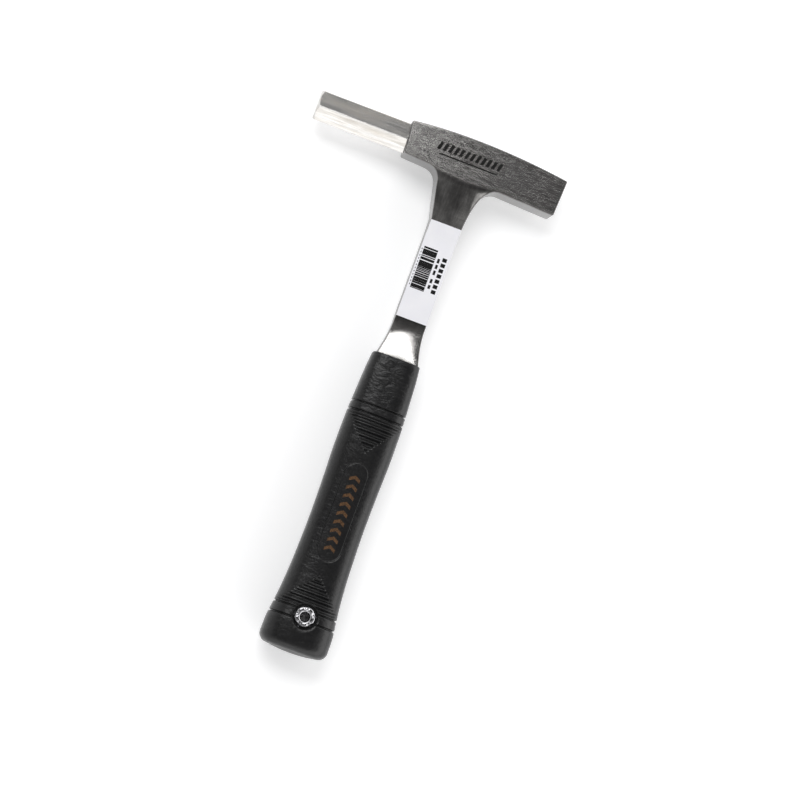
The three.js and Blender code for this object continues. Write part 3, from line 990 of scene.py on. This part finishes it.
def eyeletBackWasher():
    seat = -(grip["pocketFloor"] + eyelet["seatGap"])
    low = seat - eyelet["washerThickness"]
    inner = eyelet["barrelRadius"] + eyelet["seatGap"]
    outer = eyelet["washerRadius"]
    bevel, bend = eyelet["washerBevel"], eyelet["washerRound"]
    profile = np.concatenate([
        [(inner, seat - bevel), (inner, low + bevel), (inner + bevel, low)],
        arcPoints((outer - bend, low + bend), (bend, bend), -90, 0, 6),
        [(outer, seat - bevel), (outer - bevel, seat), (inner + bevel, seat)],
    ])
    points, faces = turnedRing(profile, eyelet["columns"], (0, grip["eyeletHeight"], 0))
    return addPiece("eyelet_back_washer", points, faces, chrome, "eyelet_washer", 50)


# ---- label and marks

label = {
    "width": 18.2,
    "length": 57.2,
    "top": 255.1,
    "gap": 0.05,
    "thickness": 0.2,
}


def forgedFront(x, y):
    # the shank's front without its rounded edges
    return forgingHeight(np.clip(x, -8, 8), y)


def labelFront(x, y):
    return forgedFront(x, y) + label["gap"] + label["thickness"]


def shankLabel():
    half = label["width"] / 2
    heights = np.linspace(label["top"] - label["length"], label["top"], 80)
    y, x = np.meshgrid(heights, np.linspace(-half, half, 14), indexing="ij")
    lift = label["gap"] + label["thickness"]
    points, faces = thinSlabs(x[None], y[None], forgedFront, lift, -label["gap"])
    return addPiece("shank_label", points, faces, paper, "shank_label")


printed = {
    "lift": 0.02,  # how far ink stands out of the surface below it
    "sink": 0.05,  # and reaches into it
    "stripes": 22,
    "stripeWidths": (0.35, 1.5),
    "spaceWidths": (0.25, 0.55),
    "blockTop": 240.6,
    "blockHeight": 25,
    "blockSides": (-7.3, 0.9),
    "dotHeights": (238, 217, 12),  # first, last and how many
    "dotSize": 0.9,
    "dotSides": (-8.3, -7.9),
    "lineHeights": (234.5, 231, 227.5, 222.5, 219),
    "lineLengths": (2.6, 2.4, 2.6, 2.4, 2.2),
    "lineSides": (2.2, 3.6),
    "boldHeights": (236, 217, 7),
    "boldLength": 2.2,
    "boldSides": (4.8, 7.4),
}


def levelBars(heights, widths, sides):
    # strips across the handle at the given heights, widths being one number or one for each
    heights = np.array(heights, float)[:, None, None]
    widths = np.array(widths, float).reshape(-1, 1, 1)
    step = np.linspace(-0.5, 0.5, 2)[None, :, None]
    x = np.linspace(*sides, 5)[None, None, :] + 0 * heights + 0 * step
    return x, heights + widths * step + 0 * x


def inkOn(surface, strips):
    # all the strips as one set of thin slabs standing on the surface
    parts = [thinSlabs(x, y, surface, printed["lift"], printed["sink"]) for x, y in strips]
    counts = np.cumsum([0] + [len(points) for points, _ in parts])
    points = np.concatenate([points for points, _ in parts])
    faces = np.concatenate([group[0] + start for (_, group), start in zip(parts, counts)])
    return points, [faces]


def labelPrint():
    # a plain striped block, a row of dots beside it and two broken lines
    stripes = np.random.default_rng(7).uniform(*printed["stripeWidths"], printed["stripes"])
    spaces = np.random.default_rng(8).uniform(*printed["spaceWidths"], printed["stripes"])
    pitches = stripes + spaces
    stripeHeights = printed["blockTop"] - np.cumsum(pitches) * printed["blockHeight"] / pitches.sum()
    strips = [
        levelBars(stripeHeights, stripes, printed["blockSides"]),
        levelBars(np.linspace(*printed["dotHeights"]), printed["dotSize"], printed["dotSides"]),
        levelBars(printed["lineHeights"], printed["lineLengths"], printed["lineSides"]),
        levelBars(np.linspace(*printed["boldHeights"]), printed["boldLength"], printed["boldSides"]),
    ]
    ink = inkFinish("label ink", (0.012, 0.012, 0.012, 1), (0.004, 0.004, 0.004, 1), 0.4)
    points, faces = inkOn(labelFront, strips)
    return addPiece("label_print", points, faces, ink)


stamped = {
    "bars": (-18.5, 17, 12),  # first, last and how many
    "barWidth": 1.9,
    "barHeights": (293.2, 297.7),
    "barLean": 1.2,
    "lineMiddle": -0.5,
    "lineLength": 35,
    "lineHeights": (290.6, 291.4),
}


def slantedBars(centres, width, heights, lean, columns):
    # strips between two heights whose tops are shifted by lean
    centres = np.array(centres, float)[:, None, None]
    step = np.linspace(-0.5, 0.5, columns)[None, None, :]
    rise = np.linspace(0, 1, 3)[None, :, None]
    low, high = heights
    y = low + (high - low) * rise + 0 * step + 0 * centres
    return centres + width * step + lean * (rise - 0.5), y


def headMark():
    # a row of slanted bars over a thin line, stamped on the ground front
    centres = np.linspace(*stamped["bars"])
    strips = [
        slantedBars(centres, stamped["barWidth"], stamped["barHeights"], stamped["barLean"], 3),
        slantedBars([stamped["lineMiddle"]], stamped["lineLength"], stamped["lineHeights"], 0.0, 9),
    ]
    ink = inkFinish("etched mark", (0.010, 0.0095, 0.009, 1), (0.003, 0.003, 0.003, 1), 0.35)
    points, faces = inkOn(forgingHeight, strips)
    return addPiece("head_mark", points, faces, ink)


arrowheads = {
    "heights": (63, 104, 9),  # first, last and how many
    "halfWidth": 3.1,
    "halfLength": 1.0,
    "slope": 0.55,
    "lift": 0.03,
    "sink": 0.1,
}


def gripFoil():
    # a row of arrowheads down the middle of the panel, in bronze foil
    look = arrowheads
    centres = np.linspace(*look["heights"])[:, None, None]
    across = np.linspace(-look["halfWidth"], look["halfWidth"], 9)[None, None, :]
    step = np.array([-look["halfLength"], look["halfLength"]])[None, :, None]
    x = across + 0 * centres + 0 * step
    y = centres + step - look["slope"] * np.abs(x)
    points, faces = thinSlabs(x, y, gripFront, look["lift"], look["sink"])
    foil = inkFinish("bronze foil", (0.05, 0.03, 0.018, 1), (0.16, 0.085, 0.042, 1), 0.4, 0.3)
    return addPiece("grip_foil", points, faces, foil)


def plugAlong(axis, radius, low, high, centre):
    # a round plug to cut a hole with, from low to high along the axis
    profile = [(0, low), (radius, low), (radius, high), (0, high)]
    return turnedPoints(profile, 64, centre, axis), roundFaces(2, 64)


body = forgedBody()
boreEnd = bar["spigotLength"] + 2 * bar["gapToHead"]
boreCentre = (forging["headTopLeft"][0], bar["axisHeight"], 0)
cutAway(body, *plugAlong("x", bar["spigotRadius"] + bar["gapToHead"], -2, boreEnd, boreCentre))
cutAway(body, *plugAlong("z", forging["eyeletHoleRadius"], -8, 8, (0, grip["eyeletHeight"], 0)))
print("forging made")
hexBar()
print("striking bar made")
sleeve = gripSleeve()
cutAway(sleeve, *eyeletCutter(20))
print("grip made")
hangingEyelet()
eyeletBackWasher()
print("eyelet and washer made")
shankLabel()
labelPrint()
headMark()
gripFoil()
print("label and marks made")


# ---- floor, light and camera

floorLook = {
    "halfSize": 6.0,
    "colour": (0.93, 0.93, 0.935, 1),
    "paleColour": (0.94, 0.94, 0.945, 1),
    "roughness": 0.6,
    "glow": 0.30,  # the floor is a sheet lit softly from below
    "glowColour": (0.98, 0.99, 1.0, 1),
    "eyeletShadeReach": (0.005, 0.012),  # metres from under the eyelet within which the glow grows to its full; inside it the floor is painted dark as shade seen through the eyelet
}


def paleFloor():
    look = floorLook
    half = look["halfSize"]
    mesh = bpy.data.meshes.new("floor")
    corners = [(-half, -half, 0), (half, -half, 0), (half, half, 0), (-half, half, 0)]
    mesh.from_pydata(corners, [], [(0, 1, 2, 3)])
    floor = bpy.data.objects.new("floor", mesh)
    scene.collection.objects.link(floor)
    material, tree, shader, place = startFinish("pale floor")
    cloud = noiseAt(tree, place, 8, 2, 0.5)
    # painted shade: the glow is taken away under the butt, leaving a dark spot where the floor shows through
    # the eyelet
    underEyelet = toFrame([0, grip["eyeletHeight"], 0])
    underEyelet[2] = 0
    apart = addNode(tree, "ShaderNodeVectorMath", {0: place, 1: underEyelet}, operation="DISTANCE")
    fill(tree, shader, {
        "Base Color": blendColours(tree, cloud, look["colour"], look["paleColour"]),
        "Roughness": look["roughness"],
        "Specular IOR Level": 0.1,
        "Emission Color": look["glowColour"],
        "Emission Strength": spread(tree, apart.outputs["Value"], 0.0, look["glow"], *look["eyeletShadeReach"]),
    })
    mesh.materials.append(material)


roomLook = {
    "colour": (1.0, 0.995, 0.99, 1),
    "overheadHead": 0.05,  # overhead towards the head, and towards the butt
    "overheadButt": 0.4,
    "horizon": 1.65,
    "overheadReach": 0.74,  # sine of the height above which the room stays at its overhead level
    "horizonReach": 0.36,
    "barSide": 0.55,  # the room's light on the bar's side and on the other side, against the rest
    "faceSide": 1.5,
}


def mapSmoothly(tree, value, fromLow, fromHigh, low, high):
    values = {"Value": value, "From Min": fromLow, "From Max": fromHigh, "To Min": low, "To Max": high}
    return addNode(tree, "ShaderNodeMapRange", values, interpolation_type="SMOOTHSTEP").outputs[0]


def studioRoom():
    # bright all round, most of all on the blunt face's side, and dim overhead
    world = bpy.data.worlds.new("studio room")
    scene.world = world
    world.use_nodes = True
    tree = world.node_tree
    background = tree.nodes["Background"]
    look = roomLook
    direction = addNode(tree, "ShaderNodeTexCoord").outputs["Generated"]
    across, along, up = addNode(tree, "ShaderNodeSeparateXYZ", {0: direction}).outputs
    overhead = mapSmoothly(tree, along, -0.15, 0.15, look["overheadButt"], look["overheadHead"])
    level = mapSmoothly(tree, up, look["horizonReach"], look["overheadReach"], look["horizon"], overhead)
    barSide = mapSmoothly(tree, across, -0.7, -0.1, look["barSide"], 1.0)
    faceSide = mapSmoothly(tree, across, 0.2, 0.8, 1.0, look["faceSide"])
    strength = multiply(tree, level, multiply(tree, barSide, faceSide))
    fill(tree, background, {"Strength": strength, "Color": look["colour"]})


lamps = {
    # a large panel hung level, over the bar's side and past the head
    "ceiling panel": {"place": (-0.785, 1.18, 2.0), "size": (1.73, 1.2), "power": 31},
}


def addLamp(name, values):
    light = bpy.data.lights.new(name, "AREA")
    light.shape = "RECTANGLE"
    light.size, light.size_y = values["size"]
    light.energy = values["power"]
    lamp = bpy.data.objects.new(name, light)
    scene.collection.objects.link(lamp)
    lamp.location = values["place"]


viewpoint = {
    "aim": (9.76, 154.28, 0),  # millimetres from the butt end
    "distance": 1.9806,
    "leans": (-5.504, -5.655),  # degrees from overhead, towards the blunt face and towards the head
    "roll": -19.945,
    "lens": 159.34,
}


def addCamera():
    camera = bpy.data.cameras.new("camera")
    camera.lens = viewpoint["lens"]
    camera.sensor_width = 36
    camera.clip_end = 20
    holder = bpy.data.objects.new("camera", camera)
    scene.collection.objects.link(holder)
    side, head = [math.tan(math.radians(lean)) for lean in viewpoint["leans"]]
    back = Vector((side, head, 1)).normalized()
    up = (Vector((0, 1, 0)) - back * back.y).normalized()
    right = up.cross(back)
    turn = math.radians(viewpoint["roll"])
    up = up * math.cos(turn) + right * math.sin(turn)
    right = up.cross(back)
    axes = Matrix((right, up, back)).transposed().to_4x4()
    aim = Vector(toFrame(viewpoint["aim"]))
    holder.matrix_world = Matrix.Translation(aim + back * viewpoint["distance"]) @ axes
    scene.camera = holder


paleFloor()
studioRoom()
for name, values in lamps.items():
    addLamp(name, values)
addCamera()
print("floor, light and camera made")
